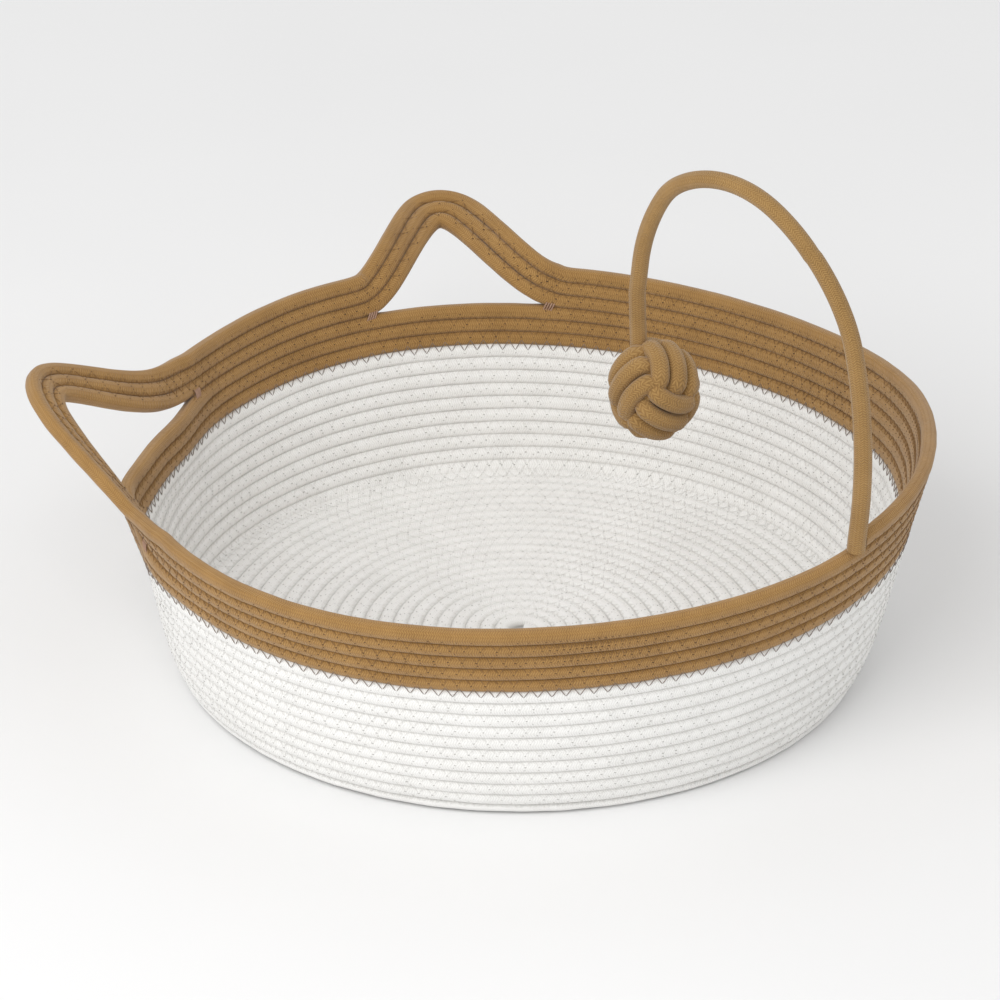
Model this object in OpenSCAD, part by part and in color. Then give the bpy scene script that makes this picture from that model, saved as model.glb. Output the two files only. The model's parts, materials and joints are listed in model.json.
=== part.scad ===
// Round coiled-rope pet basket: white rope base and wall, brown rope band that rises
// into two open ears at the back, and a springy rope arm that dangles a knotted ball.
// Millimetres, +Z up, origin at the centre of the flat underside, ears towards +Y.

/* [Rope and coil] */
// Diameter of the coiled rope
rope_d = 7.7; // [7:0.1:7.7]
// Distance from one course to the next, measured along the wall
course_pitch = 7.75; // [7.75:0.05:8.5]
// Centreline radius of the lowest wall course
base_ring_r = 171.5; // [150:0.5:190]
// Number of white wall courses
white_courses = 11; // [11:1:11]
// Number of plain brown courses below the ears
band_courses = 2; // [2:1:2]

/* [Wall lean] */
// Lean of the lower wall away from vertical, in degrees
lean_low = 8.5; // [5:0.5:12]
// Lean of the wall at the rim, in degrees
lean_rim = 13.3; // [8:0.1:20]
// Extra lean at the rounded bottom edge, in degrees
lean_edge = 26; // [10:1:35]
// Number of courses over which the bottom edge straightens
lean_decay = 1.8; // [1:0.1:3]

/* [Ears] */
// Angle of each ear to the left or right of the back, in degrees
ear_spread = 37; // [32:1:42]
// Width from an ear's middle to where it leaves the rim, on the side towards the back
ear_back_w = 48; // [44:1:55]
// Width from an ear's middle to where it leaves the rim, on the side away from the back
ear_front_w = 63; // [55:1:65]
// How hollow the ear's outline is towards the back: the power of its curve
ear_back_power = 1.7; // [1.5:0.05:1.8]
// How hollow the ear's outline is away from the back
ear_front_power = 2.6; // [2:0.05:2.7]
// Height of the ear's inner rope above the rim line, along the ear
ear_rise = 52; // [40:1:53]
// Rounding of the ear's tip, as a fraction of its width
ear_round = 0.15; // [0.15:0.01:0.2]
// Softening of the bend where the ear leaves the rim, as a fraction of its width
ear_soft = 0.16; // [0.12:0.01:0.2]
// Angle of the ear's middle above horizontal, as it flares outwards, in degrees
ear_tilt = 27; // [24:1:60]
// Distance to each side of an ear's middle over which it flares
ear_reach = 66; // [66:1:70]

/* [Play arm] */
// Direction of the arm's foot round the rim, in degrees from +X
arm_azimuth = -82.5; // [-100:0.5:-70]
// Diameter of the arm's rope
arm_d = 9; // [8.5:0.25:9.5]
// Diameter of the wire core inside the arch
core_d = 2.4; // [1.6:0.2:3]
// Upward angle of the foot, in degrees from outwards
foot_angle = 78; // [74:1:90]
// Length of the foot between its two flex points
foot_len = 16; // [15:0.5:18]
// Length of the drop link between its two flex points
link_len = 17; // [16:0.5:18]
// Gap between two rope ends that flex against each other
flex_gap = 1.6; // [1.6:0.2:2.4]
// Length of the rope tail between the lower flex point and the knot
tail_len = 26; // [24:1:30]

/* [Knot] */
// Diameter of a knot strand
strand_d = 7; // [6.5:0.1:7]
// Distance from one knot strand to the next
strand_pitch = 7.2; // [7.2:0.1:7.4]
// Diameter of the ball inside the knot
knot_core_d = 20; // [16:1:20]
// Distance from the tail's axis to the knot's centre, outwards
knot_offset = 5; // [4:0.5:6]
// How the knot is turned from its own axes, in the arm's plane
knot_turn = [56.4, 10.2, 55];

/* [Hidden] */

$fn = 96;
white = [0.93, 0.92, 0.90];
brown = [0.66, 0.50, 0.31];
shade = [0.56, 0.42, 0.26];
rope_r = rope_d / 2;
arm_r = arm_d / 2;
ear_course_0 = white_courses + band_courses;

// Wall profile: lean at course c, and the centre [radius, height] of course k
function lean(c) = lean_low + (lean_rim - lean_low) * c / 16 + lean_edge * exp(-c / lean_decay);
function course_at(k) = k == 0
    ? [base_ring_r, rope_r]
    : course_at(k - 1) + course_pitch * [sin(lean(k - 0.5)), cos(lean(k - 0.5))];

// Vectors
function unit(v) = v / norm(v);
function radial(a) = [cos(a), sin(a), 0];
up = [0, 0, 1];

// Ear outline: rise of the inner rope at distance s from the ear's middle
function ear_side(mid, s) = (90 - mid) * s < 0
    ? [ear_back_w, ear_back_power]
    : [ear_front_w, ear_front_power];
function ear_fall(u) = sqrt(u * u + ear_round * ear_round) - ear_round;
function ear_height(mid, s) =
    let (side = ear_side(mid, s), rest = 1 - ear_fall(s / side[0]) / ear_fall(1))
    ear_rise * pow((rest + sqrt(rest * rest + ear_soft * ear_soft)) / 2, side[1]);
// Share of the outward flare at distance s from the ear's middle
function flare(s) = (1 + cos(180 * min(1, abs(s) / ear_reach))) / 2;

// A point of the ear's curved surface, at distance s from its middle and along up the surface
function ear_skin(mid, s, along) =
    let (start = course_at(ear_course_0),
         wall_tilt = 90 - lean(ear_course_0 + 1),
         tilt = wall_tilt + (ear_tilt - wall_tilt) * flare(s))
    (start[0] + along * cos(tilt)) * radial(mid - s / start[0] * 180 / PI)
    + (start[1] + along * sin(tilt)) * up;

// A point of ear rope number j (0 is the inner one): each rope touches the one before
function ear_point(mid, j, s) =
    let (inner = ear_skin(mid, s, ear_height(mid, s)),
         ahead = ear_skin(mid, s + 0.5, ear_height(mid, s + 0.5)) - inner,
         rising = ear_skin(mid, s, ear_height(mid, s) + 1) - inner)
    inner + j * course_pitch * unit(cross(cross(ahead, rising), ahead));

// Stations along an ear, closer together at the tip, and along the plain rim between
ear_steps = 14;
ear_stations = [for (i = [-ear_steps : ear_steps])
    ear_reach * sign(i) * pow(abs(i) / ear_steps, 1.4)];
ear_edge_angle = ear_reach / course_at(ear_course_0)[0] * 180 / PI;
function plain_arc(j, a0, a1, n) =
    let (c = course_at(ear_course_0 + j))
    [for (i = [1 : n - 1]) c[0] * radial(a0 + (a1 - a0) * i / n) + c[1] * up];
function ear_path(j) = concat(
    [for (s = ear_stations) ear_point(90 + ear_spread, j, s)],
    plain_arc(j, 90 + ear_spread - ear_edge_angle, 90 - ear_spread + ear_edge_angle, 12),
    [for (s = ear_stations) ear_point(90 - ear_spread, j, s)],
    plain_arc(j, 90 - ear_spread - ear_edge_angle, -270 + ear_spread + ear_edge_angle, 32));

// A closed tube of radius r swept round the loop of points p
module closed_tube(p, r, sides = 8) {
    n = len(p);
    points = [for (i = [0 : n - 1], k = [0 : sides - 1])
        let (t = unit(p[(i + 1) % n] - p[(i + n - 1) % n]),
             out = unit(cross(t, cross([p[i][0], p[i][1], 0], t))),
             side = cross(t, out),
             w = 360 * k / sides)
        p[i] + r * (cos(w) * out + sin(w) * side)];
    faces = [for (i = [0 : n - 1], k = [0 : sides - 1])
        let (j = (i + 1) % n, m = (k + 1) % sides)
        [i * sides + k, i * sides + m, j * sides + m, j * sides + k]];
    polyhedron(points, faces, convexity = 10);
}

// One level course: a ring of rope
module course(k) {
    c = course_at(k);
    translate([0, 0, c[1]]) rotate_extrude() translate([c[0], 0]) circle(rope_r, $fn = 48);
}

// Arm route in its own upright plane (x outwards, z up): arcs of [radius, turn]
arm_arcs = [[250, 22], [88, 51], [55, 64], [36, 24], [102, 24]];
rim_top = course_at(ear_course_0 + 2);
foot_base = [rim_top[0], rim_top[1] + rope_r + 0.8];
foot_flex = foot_base + [0, arm_r];
function heading(a) = [cos(a), sin(a)];
function left_of(a) = [-sin(a), cos(a)];
arch_flex = foot_flex + foot_len * heading(foot_angle);
function arc_heading(i) = i == 0 ? foot_angle : arc_heading(i - 1) + arm_arcs[i - 1][1];
function arc_start(i) = i == 0
    ? arch_flex
    : arc_start(i - 1) + arm_arcs[i - 1][0] * (left_of(arc_heading(i - 1)) - left_of(arc_heading(i)));
drop_flex = arc_start(len(arm_arcs));
drop_angle = arc_heading(len(arm_arcs));
tail_flex = drop_flex + link_len * heading(drop_angle);
strand_r = strand_d / 2;
// Centreline half widths of a knot strand's loop: the near sides and the far ends
loop_near = strand_pitch + strand_r + strand_d / 2 + 0.1;
loop_far = loop_near + strand_pitch;
// Height of the turned knot above its centre, where the tail meets it
knot_top = 1.07 * (loop_far + strand_r);
knot_centre = tail_flex + [knot_offset, -tail_len - knot_top];

module in_arm_plane() rotate([0, 0, arm_azimuth]) rotate([90, 0, 0]) children();
module at2(p) translate([p[0], p[1], 0]) children();

// A straight run of rope from p to q with domed ends, set back from p and q by the insets
module domed_rope(p, q, inset_p, inset_q) {
    d = unit(q - p);
    length = norm(q - p) - inset_p - inset_q;
    at2(p + d * inset_p) rotate([0, 0, atan2(d[1], d[0]) - 90]) rotate([-90, 0, 0])
        rotate_extrude() intersection() {
            square([arm_r, length]);
            union() {
                translate([0, arm_r]) circle(arm_r);
                translate([0, length - arm_r]) circle(arm_r);
                translate([0, arm_r]) square([arm_r, length - 2 * arm_r]);
            }
        }
}

// A run of rope cut square at its start and domed at its end
module cut_rope(length) rotate_extrude() intersection() {
    square([arm_r, length]);
    union() {
        translate([0, length - arm_r]) circle(arm_r);
        square([arm_r, length - arm_r]);
    }
}

// A point and a heading at distance d along the arch
function arc_length(i) = arm_arcs[i][0] * arm_arcs[i][1] * PI / 180;
function arc_begins(i) = i == 0 ? 0 : arc_begins(i - 1) + arc_length(i - 1);
function arc_of(d, i = 0) = i == len(arm_arcs) - 1 || d < arc_begins(i + 1) ? i : arc_of(d, i + 1);
function heading_at(d) = let (i = arc_of(d))
    arc_heading(i) + (d - arc_begins(i)) / arm_arcs[i][0] * 180 / PI;
function point_at(d) = let (i = arc_of(d))
    arc_start(i) + arm_arcs[i][0] * (left_of(arc_heading(i)) - left_of(heading_at(d)));

// Stations along the arch, each [distance, rope radius]: domed ends and about every 8 mm between
arch_length = arc_begins(len(arm_arcs));
dome_inset = flex_gap / 2 + arm_r;
dome = [for (w = [20 : 14 : 76]) [dome_inset - arm_r * cos(w), arm_r * sin(w)]];
arch_steps = round((arch_length - 2 * dome_inset) / 8);
arch_stations = concat(dome,
    [for (i = [0 : arch_steps])
        [dome_inset + (arch_length - 2 * dome_inset) * i / arch_steps, arm_r]],
    [for (i = [len(dome) - 1 : -1 : 0]) [arch_length - dome[i][0], dome[i][1]]]);

// A tube along the arch: solid with radius core, or a rope skin with a bore of radius core
module arch_tube(core, skin, sides = 16) {
    n = len(arch_stations);
    points = [for (shell = skin ? [0, 1] : [1], s = arch_stations, k = [0 : sides - 1])
        let (p = point_at(s[0]), out = -left_of(heading_at(s[0])), w = 360 * k / sides,
             radius = shell == 0 ? s[1] : core)
        [p[0] + radius * cos(w) * out[0], p[1] + radius * cos(w) * out[1], radius * sin(w)]];
    inner = n * sides;
    walls = [for (i = [0 : n - 2], k = [0 : sides - 1])
        let (m = (k + 1) % sides)
        [i * sides + k, (i + 1) * sides + k, (i + 1) * sides + m, i * sides + m]];
    bore_walls = [for (f = walls) [f[3] + inner, f[2] + inner, f[1] + inner, f[0] + inner]];
    last = (n - 1) * sides;
    solid_ends = [[for (k = [0 : sides - 1]) k], [for (k = [sides - 1 : -1 : 0]) last + k]];
    open_ends = [for (k = [0 : sides - 1])
        let (m = (k + 1) % sides)
        each [[k, m, m + inner, k + inner], [last + m, last + k, last + k + inner, last + m + inner]]];
    polyhedron(points, skin ? concat(walls, bore_walls, open_ends) : concat(walls, solid_ends));
}

// Knot strand loop: a rounded rectangle of rope, long way along y, in the x-y plane
module strand_loop() {
    corner = strand_pitch + 0.3;
    x = loop_near - corner;
    y = loop_far - corner;
    for (sx = [-1, 1], sy = [-1, 1])
        translate([sx * x, sy * y, 0]) rotate([0, 0, sx > 0 ? (sy > 0 ? 0 : 270) : (sy > 0 ? 90 : 180)])
            rotate_extrude(angle = 90) translate([corner, 0]) circle(strand_r, $fn = 32);
    for (s = [-1, 1]) {
        translate([s * loop_near, -y, 0]) rotate([-90, 0, 0]) cylinder(r = strand_r, h = 2 * y, $fn = 32);
        translate([-x, s * loop_far, 0]) rotate([0, 90, 0]) cylinder(r = strand_r, h = 2 * x, $fn = 32);
    }
}
module knot_wrap(turn) at2(knot_centre) rotate(knot_turn) rotate(turn)
    for (i = [-1 : 1]) translate([0, 0, i * strand_pitch]) strand_loop();

module base_coil() color(white) cylinder(r = base_ring_r - rope_r - 0.2, h = rope_d, $fn = 128);
module white_course(k) color(white) course(k);
module brown_course(k) color(brown) course(white_courses + k);
module ear_course(j) color(brown) closed_tube(ear_path(j), rope_r);

// Short bars of thread over the inner face of the wall where each ear leaves the rim
module ear_bar_tacks() color(shade) {
    low = course_at(ear_course_0 - 1);
    high = course_at(ear_course_0);
    wall_lean = lean(ear_course_0 - 0.5);
    bar_r = 0.6;
    for (side = [-1, 1], edge = [-1, 1], i = [-2 : 2])
        rotate([0, 0, 90 + side * ear_spread
            + (0.95 * edge * (edge * side > 0 ? ear_front_w : ear_back_w) + i * 2.2) / high[0] * 180 / PI])
            translate([(low[0] + high[0]) / 2, 0, (low[1] + high[1]) / 2]) rotate([0, wall_lean, 0])
                translate([-rope_r - bar_r - 0.1, 0, -5]) cylinder(r = bar_r, h = 10, $fn = 24);
}

module arm_rope_foot() color(brown) in_arm_plane()
    domed_rope(foot_flex, arch_flex, -arm_r, flex_gap / 2);
module arm_rope_arch() color(brown) in_arm_plane() arch_tube(core_d / 2 + 0.1, true);
module arm_core_wire() color("silver") in_arm_plane() arch_tube(core_d / 2, false, 12);
module drop_rope_link() color(brown) in_arm_plane()
    domed_rope(drop_flex, tail_flex, flex_gap / 2, flex_gap / 2);
module drop_rope_tail() color(brown) in_arm_plane()
    at2(tail_flex - [0, tail_len - 0.1]) rotate([-90, 0, 0])
        cut_rope(tail_len - 0.1 - flex_gap / 2);
module knot_wrap_a() color(brown) in_arm_plane() knot_wrap([0, 0, 0]);
module knot_wrap_b() color(shade) in_arm_plane() knot_wrap([90, 0, 90]);
module knot_wrap_c() color(brown) in_arm_plane() knot_wrap([0, 90, 90]);
module knot_core() color("tan") in_arm_plane() at2(knot_centre) sphere(knot_core_d / 2);

base_coil();
white_course(0);  // white_course_01
white_course(1);  // white_course_02
white_course(2);  // white_course_03
white_course(3);  // white_course_04
white_course(4);  // white_course_05
white_course(5);  // white_course_06
white_course(6);  // white_course_07
white_course(7);  // white_course_08
white_course(8);  // white_course_09
white_course(9);  // white_course_10
white_course(10);  // white_course_11
brown_course(0);  // brown_course_1
brown_course(1);  // brown_course_2
ear_course(0);  // ear_course_inner
ear_course(1);  // ear_course_middle
ear_course(2);  // ear_course_outer
ear_bar_tacks();
arm_rope_foot();
arm_rope_arch();
arm_core_wire();
drop_rope_link();
drop_rope_tail();
knot_wrap_a();
knot_wrap_b();
knot_wrap_c();
knot_core();
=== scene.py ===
"""Looks of a coiled-rope pet basket: stitched cotton cord, two open ears, and a springy rope arm
that dangles a knotted ball. Helper functions work in millimetres in the CAD frame."""

import json
import math
from collections import namedtuple

import bpy
import numpy as np
from mathutils import Euler, Matrix, Vector


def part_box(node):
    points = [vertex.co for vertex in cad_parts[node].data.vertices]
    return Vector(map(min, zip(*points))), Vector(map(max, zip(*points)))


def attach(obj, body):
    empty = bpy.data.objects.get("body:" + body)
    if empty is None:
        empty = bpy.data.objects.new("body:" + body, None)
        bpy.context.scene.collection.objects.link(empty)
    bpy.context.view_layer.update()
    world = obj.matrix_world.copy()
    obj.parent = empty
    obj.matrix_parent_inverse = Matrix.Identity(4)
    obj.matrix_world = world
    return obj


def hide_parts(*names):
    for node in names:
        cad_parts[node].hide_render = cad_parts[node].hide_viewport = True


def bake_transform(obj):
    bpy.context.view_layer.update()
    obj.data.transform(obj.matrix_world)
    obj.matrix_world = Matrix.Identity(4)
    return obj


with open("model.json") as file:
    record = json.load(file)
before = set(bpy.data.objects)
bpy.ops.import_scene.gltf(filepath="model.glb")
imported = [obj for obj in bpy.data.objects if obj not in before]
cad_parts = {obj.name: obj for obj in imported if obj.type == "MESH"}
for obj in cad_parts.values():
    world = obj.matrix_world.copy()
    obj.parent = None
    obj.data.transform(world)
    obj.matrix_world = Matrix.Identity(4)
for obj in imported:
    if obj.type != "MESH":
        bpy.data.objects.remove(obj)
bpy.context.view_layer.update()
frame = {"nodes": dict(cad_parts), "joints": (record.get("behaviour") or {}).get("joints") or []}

MM = 0.001
rng = np.random.default_rng(7)

# ---------------------------------------------------------------- sizes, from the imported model

def ring(node):
    """Centreline radius and height of a level course, from its CAD box."""
    low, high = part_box(node)
    return (high.x - low.x) / 2 / MM - CORD_R, (low.z + high.z) / 2 / MM


def joint_point(name):
    return np.array(joints[name]["pos_m"]) / MM


joints = {j["name"]: j for j in frame["joints"]}
first_low, first_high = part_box("white_course_01")
CORD_R = (first_high.z - first_low.z) / 2 / MM          # radius of the coiled cord
BASE_R = ring("white_course_01")[0]                     # the lowest course of the wall
CAD_PITCH = math.dist(ring("brown_course_1"), ring("brown_course_2"))

COIL_PITCH = 7.5                                        # pitch of the sewn cord along the wall
sway_axis = joints["arm_sway"]["axis"]
ARM_AZIMUTH = math.degrees(math.atan2(sway_axis[1], sway_axis[0]))
BROWN_FROM = 10.347                                     # turn at which the cord changes colour
EAR_FROM = 13                                           # turn at which the ears begin
LAST_TURN = 15.9965                                     # the cord ends against the arm's foot
FIRST_TURN = 0.6 - BASE_R / COIL_PITCH                  # middle of the spiral base
HALF_WIDTH = 3.88                                       # half the cord's width across the seams
HALF_THICK = 3.76                                       # half the cord's thickness through the wall
CORD_SIDES = 16


def smoothstep(x):
    x = np.clip(x, 0, 1)
    return x * x * (3 - 2 * x)


# ---------------------------------------------------------------- the coil's path

def wall_lean(k):
    """Lean of the wall at CAD course k, in degrees, as in the CAD."""
    return 8.5 + 4.8 * k / 16 + 26 * np.exp(-k / 1.8)


COURSE_STEP = 0.05                                      # the wall's curve has a point this often, in courses
COURSES = np.arange(0, 18, COURSE_STEP)
leans = np.radians(wall_lean(COURSES[:-1] + COURSE_STEP / 2))
WALL_R = BASE_R + np.concatenate([[0], np.cumsum(np.sin(leans))]) * CAD_PITCH * COURSE_STEP
WALL_Z = CORD_R + np.concatenate([[0], np.cumsum(np.cos(leans))]) * CAD_PITCH * COURSE_STEP


def profile(turn):
    """Radius and height of the wall at a turn of the coil, before it goes out of round."""
    k = np.maximum(turn, 0) * COIL_PITCH / CAD_PITCH
    return np.interp(k, COURSES, WALL_R) + np.minimum(turn, 0) * COIL_PITCH, np.interp(k, COURSES, WALL_Z)


def near(a, middle, width):
    """Share of a local change at azimuth a, from 1 at its middle to 0 well away from it."""
    return np.exp(-(((a - middle + 180) % 360 - 180) / width) ** 2)


def out_of_round(turn, a):
    """Radius and height changes of the soft wall at azimuth a, growing towards the rim."""
    g = np.clip(turn / 16, 0, 1.1)
    c = lambda times, lead: np.cos(np.radians(times * (a + lead)))
    radius = g * (6.14 * c(2, 65.35) + 4.62 * c(3, 59.4) + 3.8 * c(1, 97.7))
    radius += (1 - g) * 1.83 * c(2, 51.6) * np.clip(1 + turn / 22, 0, 1) - g * 3.0 * near(a, -50, 16)
    height = 3.47 * c(1, 105) + 2.6 * c(2, 70.1) + 7.5 * near(a, -58, 28) - 3.0 * near(a, 98, 16)
    return radius, g * height


def ear_pull(turn, a):
    """Radius change of the upper wall below the first ear, which pulls it out of its even curve."""
    pull = 6.5 * near(a, 138, 7) + 2.5 * near(a, 157, 9) - 5.3 * near(a, 115, 9)
    return smoothstep((turn - 7) / 5) * pull


RIM_R = float(profile(EAR_FROM + 0.5)[0])
WALL_TILT = 90 - wall_lean(14)                          # the plain wall below the ears, above horizontal
# Azimuth of an ear's middle, rise, tilt above horizontal at its middle, rounding of its tip and power of its
# flare, then for the side of larger azimuth and the other: width, power of the outline, reach of the flare
Ear = namedtuple("Ear", "middle rise tilt tip flare widths powers reaches")
EARS = [Ear(131.0, 53.7, 39.7, 0.12, 0.54, (76.4, 87.2), (1.17, 2.99), (115.9, 89.0)),
        Ear(55.35, 52.0, 26.6, 0.10, 1.0, (48.1, 63.0), (1.71, 2.63), (62.1, 65.0))]
EAR_SOFT = 0.14                                         # softening of the bend where an ear leaves the rim
EAR_BLEND = 14                                          # length over which an ear's cords join the rim's


def by_side(s, pair):
    """The value for each point's side of the ear's middle."""
    return np.where(s < 0, pair[0], pair[1])


def share_of_turn(a):
    """How far round from the arm the coil is at azimuth a, from 0 to 1."""
    return (ARM_AZIMUTH - a) % 360 / 360


def ear_height(s, ear):
    """Height of the ear's inner cord above the rim line, along the ear, at distance s from its middle."""
    fall = np.sqrt((s / by_side(s, ear.widths)) ** 2 + ear.tip ** 2) - ear.tip
    rest = 1 - fall / (math.sqrt(1 + ear.tip ** 2) - ear.tip)
    share = (rest + np.sqrt(rest ** 2 + EAR_SOFT ** 2)) / (1 + math.sqrt(1 + EAR_SOFT ** 2))
    return ear.rise * share ** by_side(s, ear.powers)


def ear_skin(s, along, ear):
    """Points of an ear's curved surface: s round the rim from its middle and along up the surface."""
    a = ear.middle - np.degrees(s / RIM_R)
    seat = EAR_FROM + share_of_turn(a)
    r, z = profile(seat)
    dr, dz = out_of_round(seat, a)
    share = ((1 + np.cos(np.pi * np.clip(np.abs(s) / by_side(s, ear.reaches), 0, 1))) / 2) ** ear.flare
    angle = np.radians(WALL_TILT + (ear.tilt - WALL_TILT) * share)
    r, z, a = r + dr + along * np.cos(angle), z + dz + along * np.sin(angle), np.radians(a)
    return np.stack([r * np.cos(a), r * np.sin(a), z], -1)


def ear_cord(s, layer, ear):
    """Points of the ear's cord number layer: each cord touches the one before it."""
    h = ear_height(s, ear)
    inner = ear_skin(s, h, ear)
    step = 0.3
    after, before = (ear_skin(s + d, ear_height(s + d, ear), ear) for d in (step, -step))
    ahead = after - before
    rising = ear_skin(s, h + 0.5, ear) - inner
    return inner + layer[:, None] * COIL_PITCH * unit(np.cross(np.cross(ahead, rising), ahead))


def coil_point(turn):
    """Points of the cord's centreline, shape (n, 3), at turns of the coil counted from the floor."""
    turn = np.asarray(turn, float)
    a = ARM_AZIMUTH - 360 * turn
    r, z = profile(turn)
    dr, dz = out_of_round(turn, a)
    layer = np.floor(turn - EAR_FROM + 1e-9)
    r, z, rad = r + dr + ear_pull(turn, a) * (layer < 0), z + dz, np.radians(a)
    p = np.stack([r * np.cos(rad), r * np.sin(rad), z], -1)
    for ear in EARS:
        s = -np.radians((a - ear.middle + 180) % 360 - 180) * RIM_R
        edge = by_side(s, ear.reaches) - np.abs(s)
        weight = smoothstep(edge / EAR_BLEND) * (layer >= 0)
        p = p + weight[:, None] * (ear_cord(s, np.maximum(layer, 0), ear) - p)
    return p


def unit(v):
    return v / np.maximum(np.linalg.norm(v, axis=-1, keepdims=True), 1e-9)


def even_turns(first, last, step):
    """Turns between first and last whose points lie about one step apart along the cord."""
    dense = np.arange(first, last, 0.0004)
    length = np.concatenate([[0], np.cumsum(np.linalg.norm(np.diff(coil_point(dense), axis=0), axis=1))])
    n = max(2, int(round(length[-1] / step)))
    return np.interp(np.linspace(0, length[-1], n + 1), length, dense)


def coil_frame(turn):
    """Centre, direction across (up the wall) and outward normal of the cord, how far it touches the cord
    above it and the cord below it, from 0 to 1, and how much wider it lies where the wall is stretched."""
    p = coil_point(turn)
    along = unit(coil_point(turn + 0.0005) - coil_point(turn - 0.0005))
    above, below = coil_point(turn + 1) - p, p - coil_point(np.maximum(turn - 1, FIRST_TURN))
    touch = lambda v: 1 - smoothstep((np.linalg.norm(v, axis=1, keepdims=True) / COIL_PITCH - 1.05) / 0.6)
    touch_above, touch_below = touch(above) * (turn < LAST_TURN - 1)[:, None], touch(below)
    across = touch_above * unit(above) + touch_below * unit(below) + 0.02 * unit(above + below)
    across = unit(across - (across * along).sum(1, keepdims=True) * along)
    spread = lambda v, share: np.clip(np.linalg.norm(v, axis=1) / 2 + 0.14 - HALF_WIDTH, 0, 0.4) * share[:, 0]
    wider = np.maximum(spread(above, touch_above), spread(below, touch_below))
    return p, across, np.cross(across, along), touch_above, touch_below, wider


# ---------------------------------------------------------------- mesh builders

def make_mesh(name, points, faces, uv=None, material=None):
    """A mesh object from points in millimetres, smooth apart from its flat caps. uv is one pair per point of
    each face."""
    mesh = bpy.data.meshes.new(name)
    mesh.from_pydata((np.asarray(points) * MM).tolist(), [], faces)
    if uv is not None:
        mesh.uv_layers.new(name="rope").data.foreach_set("uv", np.asarray(uv, np.float32).ravel())
    mesh.polygons.foreach_set("use_smooth", [len(face.vertices) == 4 for face in mesh.polygons])
    rims = {edge for face in mesh.polygons if len(face.vertices) > 6 for edge in face.edge_keys}
    for edge in mesh.edges if rims else ():
        edge.use_edge_sharp = edge.key in rims
    mesh.update()
    piece = bpy.data.objects.new(name, mesh)
    bpy.context.scene.collection.objects.link(piece)
    if material:
        mesh.materials.append(material)
    return piece


def tube(p, across, normal, half_across, half_normal, sides, power=2.0, start=0.0, caps=True):
    """Vertices, faces and uv of a tube along p. uv is the length in millimetres and the share of the way
    round. half_across and half_normal are the half widths, one number or one per point."""
    n = len(p)
    w = np.linspace(0, 2 * np.pi, sides, endpoint=False)
    ca, sa = np.cos(w), np.sin(w)
    ca = np.sign(ca) * np.abs(ca) ** (2 / power)
    sa = np.sign(sa) * np.abs(sa) ** (2 / power)
    ha = np.broadcast_to(np.asarray(half_across, float), (n,))[:, None, None]
    hn = np.broadcast_to(np.asarray(half_normal, float), (n,))[:, None, None]
    rings = p[:, None] + hn * ca[None, :, None] * normal[:, None] + ha * sa[None, :, None] * across[:, None]
    length = start + np.concatenate([[0], np.cumsum(np.linalg.norm(np.diff(p, axis=0), axis=1))])
    i, k = np.meshgrid(np.arange(n - 1), np.arange(sides), indexing="ij")
    m = (k + 1) % sides
    here, after = i * sides, (i + 1) * sides
    faces = np.stack([here + k, after + k, after + m, here + m], -1).reshape(-1, 4).tolist()
    u0, u1 = length[i], length[i + 1]
    v0, v1 = k / sides, (k + 1) / sides
    uv = np.stack([np.stack([u, v], -1) for u, v in ((u0, v0), (u1, v0), (u1, v1), (u0, v1))], 2)
    uv = uv.reshape(-1, 2)
    if caps:
        faces += [list(range(sides))[::-1], [(n - 1) * sides + j for j in range(sides)]]
        ends = np.stack([np.full(sides, length[0]), w / (2 * np.pi)], -1)
        uv = np.concatenate([uv, ends[::-1], ends + [length[-1] - length[0], 0]])
    return rings.reshape(-1, 3), faces, uv


def join(parts):
    """Several tubes as one set of vertices, faces and uv."""
    points, faces, uv, base = [], [], [], 0
    for p, f, t in parts:
        points.append(p)
        faces += [[v + base for v in face] for face in f]
        uv.append(t)
        base += len(p)
    return np.concatenate(points), faces, np.concatenate(uv)


def soft_noise(n, width, size):
    """n smooth random numbers, each about as wide as width samples, up to about size."""
    raw = rng.normal(0, 1, n + 4 * width)
    kernel = np.hanning(2 * width + 1)
    out = np.convolve(raw, kernel / np.sqrt((kernel ** 2).sum()), "same")[2 * width: 2 * width + n]
    return np.clip(out, -2.2, 2.2) * size / 2


# ---------------------------------------------------------------- materials

def new_material(name):
    """A node material, its nodes and links, and its surface shader."""
    material = bpy.data.materials.new(name)
    material.use_nodes = True
    nodes, links = material.node_tree.nodes, material.node_tree.links
    return material, nodes, links, nodes["Principled BSDF"]


def maths(nodes, links, operation, a, b=None, c=None, clamp=False):
    """Output of a maths node whose inputs are numbers or other nodes' outputs."""
    node = nodes.new("ShaderNodeMath")
    node.operation = operation
    node.use_clamp = clamp
    for socket, value in zip(node.inputs, (a, b, c)):
        if value is None:
            continue
        if isinstance(value, (int, float)):
            socket.default_value = value
        else:
            links.new(value, socket)
    return node.outputs[0]


def noise(nodes, links, vector, scale, detail=3.0, rough=0.6):
    node = nodes.new("ShaderNodeTexNoise")
    node.inputs["Scale"].default_value = scale
    node.inputs["Detail"].default_value = detail
    node.inputs["Roughness"].default_value = rough
    links.new(vector, node.inputs["Vector"])
    return node.outputs["Fac"]


def ramp(nodes, links, fac, stops):
    """Colour by fac, from a list of (place, (r, g, b)) stops."""
    node = nodes.new("ShaderNodeValToRGB")
    links.new(fac, node.inputs["Fac"])
    while len(node.color_ramp.elements) < len(stops):
        node.color_ramp.elements.new(0.5)
    for element, (place, colour) in zip(node.color_ramp.elements, stops):
        element.position = place
        element.color = (*colour, 1)
    return node.outputs["Color"]


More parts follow.
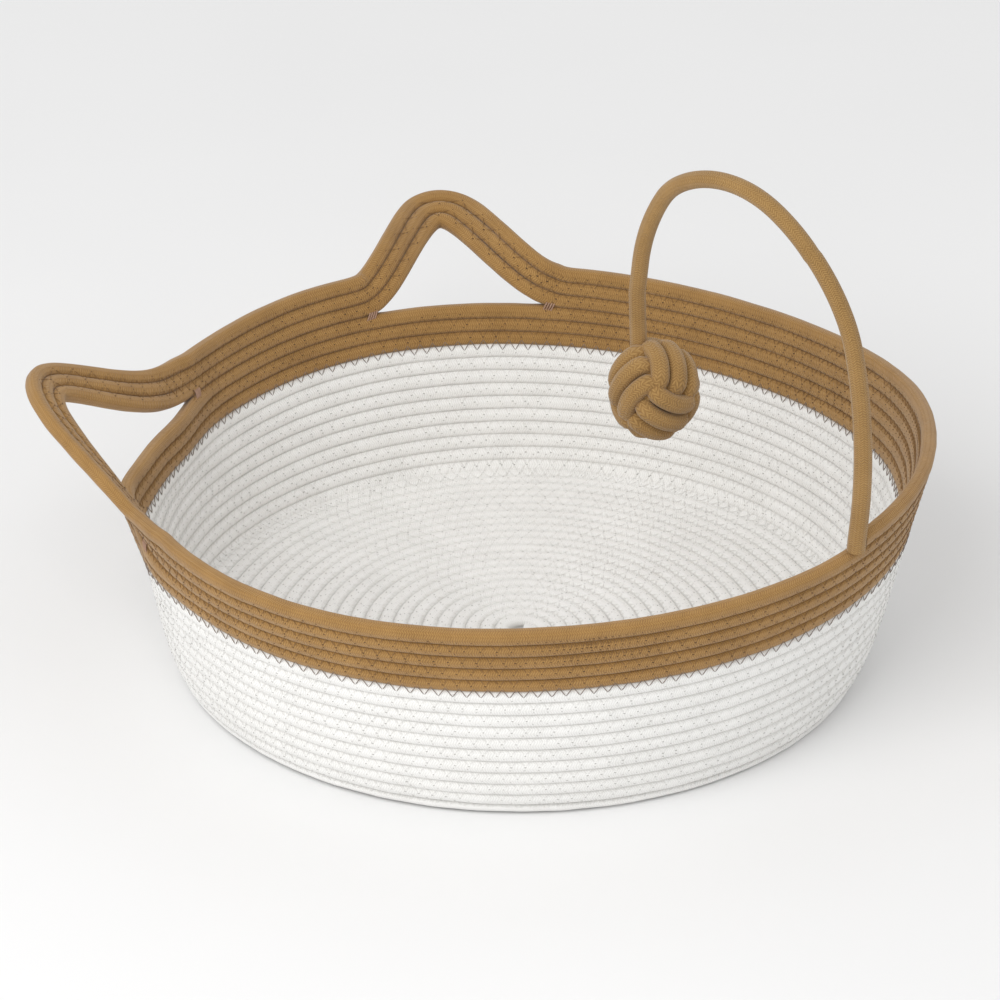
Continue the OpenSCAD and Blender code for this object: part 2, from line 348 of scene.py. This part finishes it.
def mix_colour(nodes, links, fac, a, b):
    """Colour a where fac is 0 and colour b where it is 1."""
    node = nodes.new("ShaderNodeMix")
    node.data_type = "RGBA"
    for socket, value in ((node.inputs[0], fac), (node.inputs[6], a), (node.inputs[7], b)):
        if isinstance(value, (int, float)):
            socket.default_value = value
        elif isinstance(value, tuple):
            socket.default_value = (*value, 1)
        else:
            links.new(value, socket)
    return node.outputs[2]


def srgb(r, g, b):
    """Linear colour of an 8-bit sRGB colour."""
    f = lambda v: v / 255 / 12.92 if v <= 10 else ((v / 255 + 0.055) / 1.055) ** 2.4
    return f(r), f(g), f(b)


def braided_cotton(name, dark, mid, light, columns, stitch, bump, crevice_shade=None):
    """Braided cotton cover: columns of slanted stitches round the rope, pairs of them making V shapes.
    stitch is the length of one stitch in millimetres. The last colour is painted crevice shade, laid where one
    cord meets the next."""
    material, nodes, links, shader = new_material(name)
    uv = nodes.new("ShaderNodeUVMap")
    uv.uv_map = "rope"
    split = nodes.new("ShaderNodeSeparateXYZ")
    links.new(uv.outputs["UV"], split.inputs[0])
    u, v = split.outputs[0], split.outputs[1]
    place = nodes.new("ShaderNodeTexCoord").outputs["Object"]

    column = maths(nodes, links, "MULTIPLY", v, float(columns))
    slant = maths(nodes, links, "PINGPONG", column, 1.0)
    wobble = noise(nodes, links, place, 190, 2)
    phase = maths(nodes, links, "MULTIPLY_ADD", u, 1.0 / stitch, slant)
    phase = maths(nodes, links, "MULTIPLY_ADD", wobble, 1.6, phase)
    wave = maths(nodes, links, "SINE", maths(nodes, links, "MULTIPLY", phase, 2 * math.pi))
    ply = maths(nodes, links, "MULTIPLY_ADD", wave, 0.5, 0.5)
    ridge = maths(nodes, links, "SINE", maths(nodes, links, "MULTIPLY", column, math.pi))
    ridge = maths(nodes, links, "POWER", maths(nodes, links, "ABSOLUTE", ridge), 0.3)
    height = maths(nodes, links, "MULTIPLY", ply, ridge)
    fibre = noise(nodes, links, place, 1500, 4, 0.7)
    blotch = noise(nodes, links, place, 55, 3)
    # The stitches' hollows are painted darker than their crowns: painted shade in the braid, on top of the
    # random fibre and blotch tone.
    tone = maths(nodes, links, "MULTIPLY_ADD", height, 0.34, 0.20)
    tone = maths(nodes, links, "MULTIPLY_ADD", fibre, 0.42, tone)
    tone = maths(nodes, links, "SUBTRACT", tone, 0.16)
    tone = maths(nodes, links, "MULTIPLY_ADD", blotch, 0.30, tone, clamp=True)
    colour = ramp(nodes, links, tone, [(0.12, dark), (0.5, mid), (0.92, light)])
    # Painted crevice shade: the cord's upper and lower sides darken towards the last colour where another cord
    # touches them.
    if crevice_shade:
        side = maths(nodes, links, "SINE", maths(nodes, links, "MULTIPLY", v, 2 * math.pi))
        side = maths(nodes, links, "ABSOLUTE", side)
        touch = nodes.new("ShaderNodeAttribute")
        touch.attribute_name = "touch"
        crevice_shade_mask = maths(nodes, links, "POWER", side, 60.0)
        crevice_shade_mask = maths(nodes, links, "MULTIPLY", crevice_shade_mask, touch.outputs["Fac"])
        colour = mix_colour(nodes, links, maths(nodes, links, "MULTIPLY", crevice_shade_mask, 0.85), colour, crevice_shade)
    links.new(colour, shader.inputs["Base Color"])
    relief = maths(nodes, links, "MULTIPLY_ADD", fibre, 0.35, height)
    bumps = nodes.new("ShaderNodeBump")
    bumps.inputs["Strength"].default_value = bump
    bumps.inputs["Distance"].default_value = 0.0004
    links.new(relief, bumps.inputs["Height"])
    links.new(bumps.outputs["Normal"], shader.inputs["Normal"])
    shader.inputs["Roughness"].default_value = 0.88
    shader.inputs["Specular IOR Level"].default_value = 0.25
    shader.inputs["Sheen Weight"].default_value = 0.25
    shader.inputs["Sheen Roughness"].default_value = 0.5
    return material


def sewing_thread(name, dark, light):
    """Two-ply thread: slanted bands along its length."""
    material, nodes, links, shader = new_material(name)
    uv = nodes.new("ShaderNodeUVMap")
    uv.uv_map = "rope"
    split = nodes.new("ShaderNodeSeparateXYZ")
    links.new(uv.outputs["UV"], split.inputs[0])
    twist = maths(nodes, links, "MULTIPLY_ADD", split.outputs[0], 1 / 0.9, split.outputs[1])
    ply = maths(nodes, links, "PINGPONG", maths(nodes, links, "MULTIPLY", twist, 2.0), 1.0)
    place = nodes.new("ShaderNodeTexCoord").outputs["Object"]
    tone = maths(nodes, links, "MULTIPLY_ADD", noise(nodes, links, place, 260, 3), 0.6,
                 maths(nodes, links, "MULTIPLY", ply, 0.4))
    links.new(ramp(nodes, links, tone, [(0.15, dark), (0.85, light)]), shader.inputs["Base Color"])
    bumps = nodes.new("ShaderNodeBump")
    bumps.inputs["Strength"].default_value = 0.4
    bumps.inputs["Distance"].default_value = 0.0001
    links.new(ply, bumps.inputs["Height"])
    links.new(bumps.outputs["Normal"], shader.inputs["Normal"])
    shader.inputs["Roughness"].default_value = 0.7
    return material


# The last colour of each cord is the painted shade in the crevice between neighbouring cords.
white_cord = braided_cotton("white_cotton_braid", srgb(202, 200, 196), srgb(238, 237, 234), srgb(251, 250, 248),
                            12, 1.3, 0.35, srgb(182, 179, 174))
brown_cord = braided_cotton("brown_cotton_braid", srgb(98, 68, 32), srgb(155, 117, 66), srgb(190, 150, 92),
                            12, 1.2, 0.5, srgb(66, 42, 18))
arm_cord = braided_cotton("brown_arm_braid", srgb(98, 72, 36), srgb(152, 117, 68), srgb(184, 148, 94),
                          16, 1.25, 0.55)
white_thread = sewing_thread("white_thread", srgb(212, 210, 206), srgb(242, 241, 238))
brown_thread = sewing_thread("brown_thread", srgb(104, 72, 38), srgb(156, 120, 72))
edge_thread = sewing_thread("dark_brown_thread", srgb(106, 92, 82), srgb(144, 130, 118))
# Painted shade: the needle-hole colours are darker than the threads and stand in for the shade inside the
# holes.
white_hole_shade = sewing_thread("white_needle_hole_shade", srgb(166, 164, 160), srgb(200, 198, 194))
brown_hole_shade = sewing_thread("brown_needle_hole_shade", srgb(50, 30, 16), srgb(92, 60, 34))
tack_thread = sewing_thread("tan_thread", srgb(140, 106, 84), srgb(186, 152, 130))


def spring_steel():
    material, nodes, links, shader = new_material("spring_steel")
    place = nodes.new("ShaderNodeTexCoord").outputs["Object"]
    grain = noise(nodes, links, place, 900, 4)
    links.new(ramp(nodes, links, grain, [(0.2, srgb(120, 120, 124)), (0.8, srgb(176, 176, 180))]),
              shader.inputs["Base Color"])
    links.new(maths(nodes, links, "MULTIPLY_ADD", grain, 0.2, 0.25), shader.inputs["Roughness"])
    shader.inputs["Metallic"].default_value = 1.0
    return material


def turned_wood():
    material, nodes, links, shader = new_material("turned_wood")
    place = nodes.new("ShaderNodeTexCoord").outputs["Object"]
    stretch = nodes.new("ShaderNodeMapping")
    stretch.inputs["Scale"].default_value = (1, 1, 0.12)
    links.new(place, stretch.inputs["Vector"])
    grain = noise(nodes, links, stretch.outputs[0], 700, 5)
    links.new(ramp(nodes, links, grain, [(0.3, srgb(168, 126, 80)), (0.7, srgb(212, 176, 128))]),
              shader.inputs["Base Color"])
    shader.inputs["Roughness"].default_value = 0.6
    return material


# ---------------------------------------------------------------- coiled cord

def cord_piece(name, first, last, material, step):
    """The sewn cord from turn first to turn last, with small random changes in its path and thickness."""
    turn = even_turns(first, last, step)
    p, across, normal, touch_above, touch_below, wider = coil_frame(turn)
    n = len(turn)
    wide = lambda length: int(round(length / step))
    p = p + normal * soft_noise(n, wide(14), 0.12)[:, None] + across * soft_noise(n, wide(21), 0.12)[:, None]
    width = HALF_WIDTH + wider + soft_noise(n, wide(8), 0.05)
    thick = HALF_THICK + soft_noise(n, wide(8), 0.10)
    p[:, 2] = np.maximum(p[:, 2], CORD_R)
    verts, faces, uv = tube(p, across, normal, width, thick, CORD_SIDES, 2.9)
    verts[:, 2] = np.maximum(verts[:, 2], 0.02)
    piece = make_mesh(name, verts, faces, uv, material)
    upper = np.sin(np.linspace(0, 2 * np.pi, CORD_SIDES, endpoint=False)) > 0
    # touch sets how much painted crevice shade the cord's material lays on each side.
    touch = np.where(upper, touch_above, touch_below).astype(np.float32)
    piece.data.attributes.new("touch", "FLOAT", "POINT").data.foreach_set("value", touch.ravel())
    return piece


white_rope = cord_piece("cord_white", FIRST_TURN, BROWN_FROM, white_cord, 2.33)
brown_rope = cord_piece("cord_brown", BROWN_FROM, LAST_TURN, brown_cord, 1.3)

# ---------------------------------------------------------------- zigzag stitches over the seams

STITCH = 3.45                                           # length of one leg of the zigzag
HOLE = 2.8                                              # distance of a needle hole from the seam
LEG = np.array([1, 0.5, 0, -0.5])                       # side of the seam at each quarter of a leg
HEIGHT = np.array([3.35, 3.66, 3.50, 3.66])             # height of the thread over the middle of the cords


def seam_frame(first, last, side):
    """Points every quarter of a leg along the seam above the cord, with the ways across and out of the wall,
    and whether the two cords touch there. side is 1 outside, -1 inside."""
    turn = even_turns(first + 0.5, last + 0.5, STITCH / 4) - 0.5
    below, above = coil_point(turn), coil_point(turn + 1)
    gap = above - below
    joined = np.linalg.norm(gap, axis=1) < 1.2 * COIL_PITCH
    across, middle = unit(gap), (below + above) / 2
    along = unit(np.gradient(middle, axis=0))
    return middle, along, across, unit(np.cross(across, along)) * side, joined


def zigzag(first, last, side, radius, sink):
    """Thread that crosses the seam from turn first to turn last. sink lowers it into the cord."""
    middle, _, across, normal, joined = seam_frame(first, last, side)
    n = len(middle)
    step = np.arange(n) % 8
    leg = np.concatenate([LEG, -LEG])[step]
    p = middle + across * (HOLE * leg)[:, None] + normal * (np.tile(HEIGHT, 2)[step] - sink)[:, None]
    p[:, 2] = np.maximum(p[:, 2], 0.3)
    edges = np.flatnonzero(np.diff(np.concatenate([[0], joined.astype(int), [0]])))
    runs = []
    for i, j in zip(edges[::2], edges[1::2]):
        if j - i > 12:
            t = unit(np.gradient(p[i:j], axis=0))
            aa = unit(np.cross(t, normal[i:j]))
            runs.append(tube(p[i:j], aa, np.cross(aa, t), radius, radius, 5))
    return runs


def needle_hole_shade(first, last, side):
    """Painted shade of the needle holes: small dark pieces sunk into the cord on each side of the seam, where
    the thread dips in, in place of the shade inside the holes.
    """
    middle, along, across, normal, joined = seam_frame(first, last, side)
    runs = []
    for offset, ahead, size in ((4, -1, 0.28), (0, 1, 0.18)):
        pick = np.arange(offset, len(middle), 8)
        for i in pick[joined[pick]]:
            centre = middle[i] + across[i] * HOLE * ahead + normal[i] * 3.74
            if centre[2] < 0.6:
                continue
            p = centre + np.outer([-0.6, -0.25, 0.25, 0.6], along[i]) - np.outer([0.3, 0, 0, 0.3], normal[i])
            runs.append(tube(p, np.tile(across[i], (4, 1)), np.tile(normal[i], (4, 1)), size, size * 0.8, 4))
    return runs


def stitch_piece(name, builder, first, last, material, *sizes):
    """One piece of all that builder makes on both faces of the wall."""
    runs = [run for side in (1, -1) for run in builder(first, last, side, *sizes)]
    verts, faces, uv = join(runs)
    return make_mesh(name, verts, faces, uv, material)


WALL_FROM = FIRST_TURN + 0.6
white_stitches = stitch_piece("stitches_white", zigzag, WALL_FROM, BROWN_FROM - 1.0, white_thread, 0.16, 0.16)
edge_stitches = stitch_piece("stitches_edge", zigzag, BROWN_FROM - 1.0, BROWN_FROM, edge_thread, 0.22, -0.14)
brown_stitches = stitch_piece("stitches_brown", zigzag, BROWN_FROM, LAST_TURN - 1.0, brown_thread, 0.18, 0.14)
# Painted shade of the needle holes on the white and brown cord.
white_hole_shade_piece = stitch_piece("needle_hole_shade_white", needle_hole_shade, WALL_FROM, BROWN_FROM - 1.0, white_hole_shade)
brown_hole_shade_piece = stitch_piece("needle_hole_shade_brown", needle_hole_shade, BROWN_FROM, LAST_TURN - 1.0, brown_hole_shade)

TACK_STEP = 1.4                                         # distance from one bar of a tack to the next


def bar_tacks(name, material):
    """Short bars of thread over the seam where each ear leaves the rim."""
    runs = []
    for ear in EARS:
        for side, width in zip((-1, 1), ear.widths):
            s = np.linspace(0.5, 1.2, 200) * width * side
            turn = share_of_turn(ear.middle - np.degrees(s / RIM_R)) + EAR_FROM - 1
            gap = np.linalg.norm(coil_point(turn + 1) - coil_point(turn), axis=1)
            mouth = abs(s[np.argmax(gap < 1.1 * COIL_PITCH)])
            for i in range(-1, 3):
                a = ear.middle - np.degrees(side * (mouth + i * TACK_STEP) / RIM_R)
                turn = np.array([share_of_turn(a) + EAR_FROM - 1])
                low, high = coil_point(turn)[0], coil_point(turn + 1)[0]
                across = unit(high - low)
                along = unit(coil_point(turn + 0.002)[0] - low)
                for face in (1, -1):
                    normal = np.cross(across, along) * face
                    w = np.linspace(-1, 1, 7)
                    p = (low + high) / 2 + np.outer(w * 2.6, across) + np.outer(w * 1.2, along)
                    p = p + np.outer(3.85 - 0.9 * w ** 4, normal)
                    runs.append(tube(p, np.tile(along, (7, 1)), np.tile(normal, (7, 1)), 0.5, 0.35, 6))
    verts, faces, uv = join(runs)
    return make_mesh(name, verts, faces, uv, material)


tacks = bar_tacks("ear_tacks", tack_thread)

# ---------------------------------------------------------------- play arm

ARM_R, DROP_R = 4.7, 4.2                                # radius of the rope as it rises and as it drops
ARM_ARCS = [(250, 22), (88, 51), (55, 64), (36, 24), (102, 24)]     # radius and turn of each, as in the CAD
FOOT_ANGLE = 78                                         # angle of the foot above horizontal
FOOT_LIFT = 0.1                                         # the rope starts this far above its lower flex point
ARM_OUT = 2                                             # the arm stands this far out from the rim's middle
radial = np.array([math.cos(math.radians(ARM_AZIMUTH)), math.sin(math.radians(ARM_AZIMUTH)), 0])
foot_flex, arch_flex = joint_point("arm_sway"), joint_point("arm_lean")
drop_flex, tail_flex = joint_point("toy_swing"), joint_point("toy_sideways")


def in_plane(p):
    """Distance outwards and height of a point of the arm's plane."""
    return np.array([np.dot(p[:2], radial[:2]), p[2]])


def from_plane(q):
    return q[..., :1] * radial + q[..., 1:] * np.array([0, 0, 1.0])


def arch_route():
    """Centreline of the arch in the arm's plane, from the foot to the drop, about 2 mm apart."""
    points, p, h = [in_plane(arch_flex)], in_plane(arch_flex), math.radians(FOOT_ANGLE)
    left = lambda a: np.array([-math.sin(a), math.cos(a)])
    for radius, turn in ARM_ARCS:
        turn = math.radians(turn)
        steps = max(2, int(radius * turn / 2))
        for t in np.linspace(0, turn, steps + 1)[1:]:
            points.append(p + radius * (left(h) - left(h + t)))
        p, h = points[-1], h + turn
    return np.array(points)


BALL_OUT, BALL_UP = 5.5, 1.2                            # the ball hangs this far from the CAD's place
RIM_BULGE = float(out_of_round(15.5, ARM_AZIMUTH)[0])   # the rim stands this much further out at the arm
foot_q, tail_q = in_plane(foot_flex), in_plane(tail_flex)
arch_q = arch_route()
rise_q = np.linspace(foot_q + [0.0, FOOT_LIFT], arch_q[0], 13)[:-1]
drop_q = np.linspace(arch_q[-1], tail_q, 9)[1:]
knot_low, knot_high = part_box("knot_wrap_a")
for node in ("knot_wrap_b", "knot_wrap_c"):
    low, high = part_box(node)
    knot_low = Vector(map(min, knot_low, low))
    knot_high = Vector(map(max, knot_high, high))
knot_centre = np.array((knot_low + knot_high) / 2) / MM + BALL_OUT * radial + np.array([0, 0, BALL_UP])
knot_q = in_plane(knot_centre)
end_q = np.linspace(tail_q, [tail_q[0] + 1, knot_q[1] + 12], 20)[1:]
arm_q = np.concatenate([rise_q, arch_q, drop_q, end_q])
rising = np.arange(len(arm_q)) < len(rise_q) + len(arch_q) // 2
above_foot = np.maximum(arm_q[:, 1] - foot_q[1], 0)
lean_out = np.exp(-above_foot / 100) * (1 - smoothstep(above_foot / 65 - 1.7))
arm_q[:, 0] += np.where(rising, (RIM_BULGE + ARM_OUT) * lean_out, 0)
arm_p = from_plane(arm_q)
across_arm = np.tile(np.cross(radial, [0, 0, 1.0]), (len(arm_p), 1))
arm_along = unit(np.gradient(arm_p, axis=0))
arm_normal = unit(np.cross(across_arm, arm_along))
length_at = np.concatenate([[0], np.cumsum(np.linalg.norm(np.diff(arm_p, axis=0), axis=1))])
arm_half = ARM_R + (DROP_R - ARM_R) * length_at / length_at[-1]


def arm_piece(name, i, j):
    """The arm's rope from station i to station j."""
    half = arm_half[i:j]
    verts, faces, uv = tube(arm_p[i:j], across_arm[i:j], arm_normal[i:j], half, half, 28, start=length_at[i])
    return make_mesh(name, verts, faces, uv, arm_cord)


def nearest(point):
    """The arm's station that is nearest to a point."""
    return int(np.argmin(np.linalg.norm(arm_q - in_plane(point), axis=1)))


i_foot = (nearest(foot_flex) + nearest(arch_flex)) // 2
i_mid = len(rise_q) + len(arch_q) // 2
i_drop = (nearest(drop_flex) + nearest(tail_flex)) // 2
foot_rope = arm_piece("arm_foot_rope", 0, i_foot + 1)
rise_rope = arm_piece("arm_rising_rope", i_foot, i_mid + 1)
fall_rope = arm_piece("arm_falling_rope", i_mid, i_drop + 1)
tail_rope = arm_piece("arm_tail_rope", i_drop, len(arm_p))

in_arch = slice(nearest(arch_flex) + 5, nearest(drop_flex) - 5)
wire_tube = tube(arm_p[in_arch], across_arm[in_arch], arm_normal[in_arch], 1.2, 1.2, 10)
wire = make_mesh("arm_wire", *wire_tube, spring_steel())

# ---------------------------------------------------------------- knotted ball

STRAND_PITCH, STRAND_R = 9.2, 4.7
BALL_R = 23.8
TUCK_R = 10.2                                           # distance from the middle of a strand tucked under
BALL_STRETCH = np.array([1, 1, 1.17])                   # the knot hangs a little longer than it is wide
KNOT_AXES = np.array(Euler(np.radians((132.207, -53.741, -65.125)), "XYZ").to_matrix())


def strand_loop(offset):
    """One closed loop of a wrap in its own x-y plane: outside on the y faces, tucked under on the x faces."""
    w = np.linspace(0, 2 * np.pi, 97)[:-1]
    out = math.sqrt((BALL_R - STRAND_R) ** 2 - offset ** 2)
    share = smoothstep((np.degrees(np.arcsin(np.abs(np.sin(w)))) - 36) / 22)
    r = TUCK_R + (out - TUCK_R) * share
    return np.stack([r * np.cos(w), r * np.sin(w), np.full_like(w, offset)], -1)


def closed_tube(p, normal, half_across, half_normal, sides):
    """Vertices, faces and uv of a tube that joins its own start."""
    along = unit(np.roll(p, -1, axis=0) - np.roll(p, 1, axis=0))
    normal = unit(normal - (normal * along).sum(1, keepdims=True) * along)
    across = np.cross(along, normal)
    rounds = np.r_[np.arange(len(p)), 0]
    return tube(p[rounds], across[rounds], normal[rounds], half_across, half_normal, sides, 2.2, caps=False)


def knot_piece(name, material):
    """Three wraps of three loops each, at right angles to each other."""
    runs = []
    for shift in range(3):
        order = np.roll(np.eye(3), shift, axis=0)
        for i in (-1, 0, 1):
            loop = strand_loop(i * STRAND_PITCH)
            outward = unit(loop)
            turned = order @ KNOT_AXES.T
            world = (loop @ turned) * BALL_STRETCH + knot_centre
            runs.append(closed_tube(world, outward @ turned, STRAND_R + 0.15, STRAND_R - 0.1, 16))
    verts, faces, uv = join(runs)
    return make_mesh(name, verts, faces, uv, material)


knot = knot_piece("knot_strands", arm_cord)

# ---------------------------------------------------------------- hand the pieces to the frame

stitches = (white_stitches, edge_stitches, brown_stitches, white_hole_shade_piece, brown_hole_shade_piece, tacks)
for piece in (white_rope, brown_rope, *stitches):
    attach(piece, "basket")
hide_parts("base_coil", *[f"white_course_{k:02d}" for k in range(1, 12)])
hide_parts("brown_course_1", "brown_course_2",
            "ear_course_inner", "ear_course_middle", "ear_course_outer")
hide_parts("ear_bar_tacks")
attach(knot, "toy")
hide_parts("knot_wrap_a", "knot_wrap_b", "knot_wrap_c")


def bend(piece):
    """Bakes piece's transform into its mesh."""
    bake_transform(piece)


bend(foot_rope)
bend(rise_rope)
bend(fall_rope)
bend(tail_rope)
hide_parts("arm_rope_foot")
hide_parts("arm_rope_arch")
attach(wire, "arm")
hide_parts("arm_core_wire")
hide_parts("drop_rope_link")
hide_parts("drop_rope_tail")

core = frame["nodes"]["knot_core"]
core.data.materials.clear()
core.data.materials.append(turned_wood())

# ---------------------------------------------------------------- floor, light and camera

def floor_material():
    material, nodes, links, shader = new_material("studio_floor")
    place = nodes.new("ShaderNodeTexCoord").outputs["Object"]
    tone = noise(nodes, links, place, 3, 2)
    pale = ramp(nodes, links, tone, [(0.3, (0.86, 0.86, 0.86)), (0.7, (0.88, 0.88, 0.88))])
    links.new(pale, shader.inputs["Base Color"])
    shader.inputs["Roughness"].default_value = 0.9
    return material


FLOOR = 6000                                            # half the side of the floor
corners = [(-FLOOR, -FLOOR, 0), (FLOOR, -FLOOR, 0), (FLOOR, FLOOR, 0), (-FLOOR, FLOOR, 0)]
floor = make_mesh("studio_floor", corners, [[0, 1, 2, 3]], None, floor_material())

world = bpy.data.worlds.new("studio")
bpy.context.scene.world = world
world.use_nodes = True
sky = world.node_tree.nodes["Background"]
sky.inputs["Color"].default_value = (1, 1, 1, 1)
sky.inputs["Strength"].default_value = 0.76


def area_light(name, azimuth, elevation, distance, size, power):
    """A square soft light aimed at the basket, size metres wide."""
    light = bpy.data.lights.new(name, "AREA")
    light.size = size
    light.energy = power
    a, e = math.radians(azimuth), math.radians(elevation)
    place = Vector((math.sin(a) * math.cos(e), -math.cos(a) * math.cos(e), math.sin(e))) * distance
    lamp = bpy.data.objects.new(name, light)
    lamp.location = place + Vector((0, 0, 0.1))
    lamp.rotation_euler = place.to_track_quat("Z", "Y").to_euler()
    bpy.context.scene.collection.objects.link(lamp)


area_light("key", -75, 42, 2.2, 1.6, 24.5)
area_light("fill", 40, 40, 2.5, 2.0, 2)

AZIMUTH, ELEVATION, ROLL = math.radians(-44.35), math.radians(29.28), math.radians(-0.63)
level = math.cos(ELEVATION)
back = Vector((math.sin(AZIMUTH) * level, -math.cos(AZIMUTH) * level, math.sin(ELEVATION)))
right = Vector((math.cos(AZIMUTH), math.sin(AZIMUTH), 0))
up = back.cross(right)
right, up = right * math.cos(ROLL) + up * math.sin(ROLL), up * math.cos(ROLL) - right * math.sin(ROLL)
camera = bpy.data.objects.new("camera", bpy.data.cameras.new("camera"))
bpy.context.scene.collection.objects.link(camera)
camera.data.sensor_width = 36
camera.data.lens = 280.2
camera.data.clip_end = 50
DISTANCE = 3.998
aim = Vector((0, 0, 0.060)) - 0.0100 * right + 0.0200 * up
rotation = Matrix((right, up, back)).transposed().to_4x4()
camera.matrix_world = Matrix.Translation(aim + back * DISTANCE) @ rotation
bpy.context.scene.camera = camera
bpy.context.scene.view_settings.view_transform = "Standard"
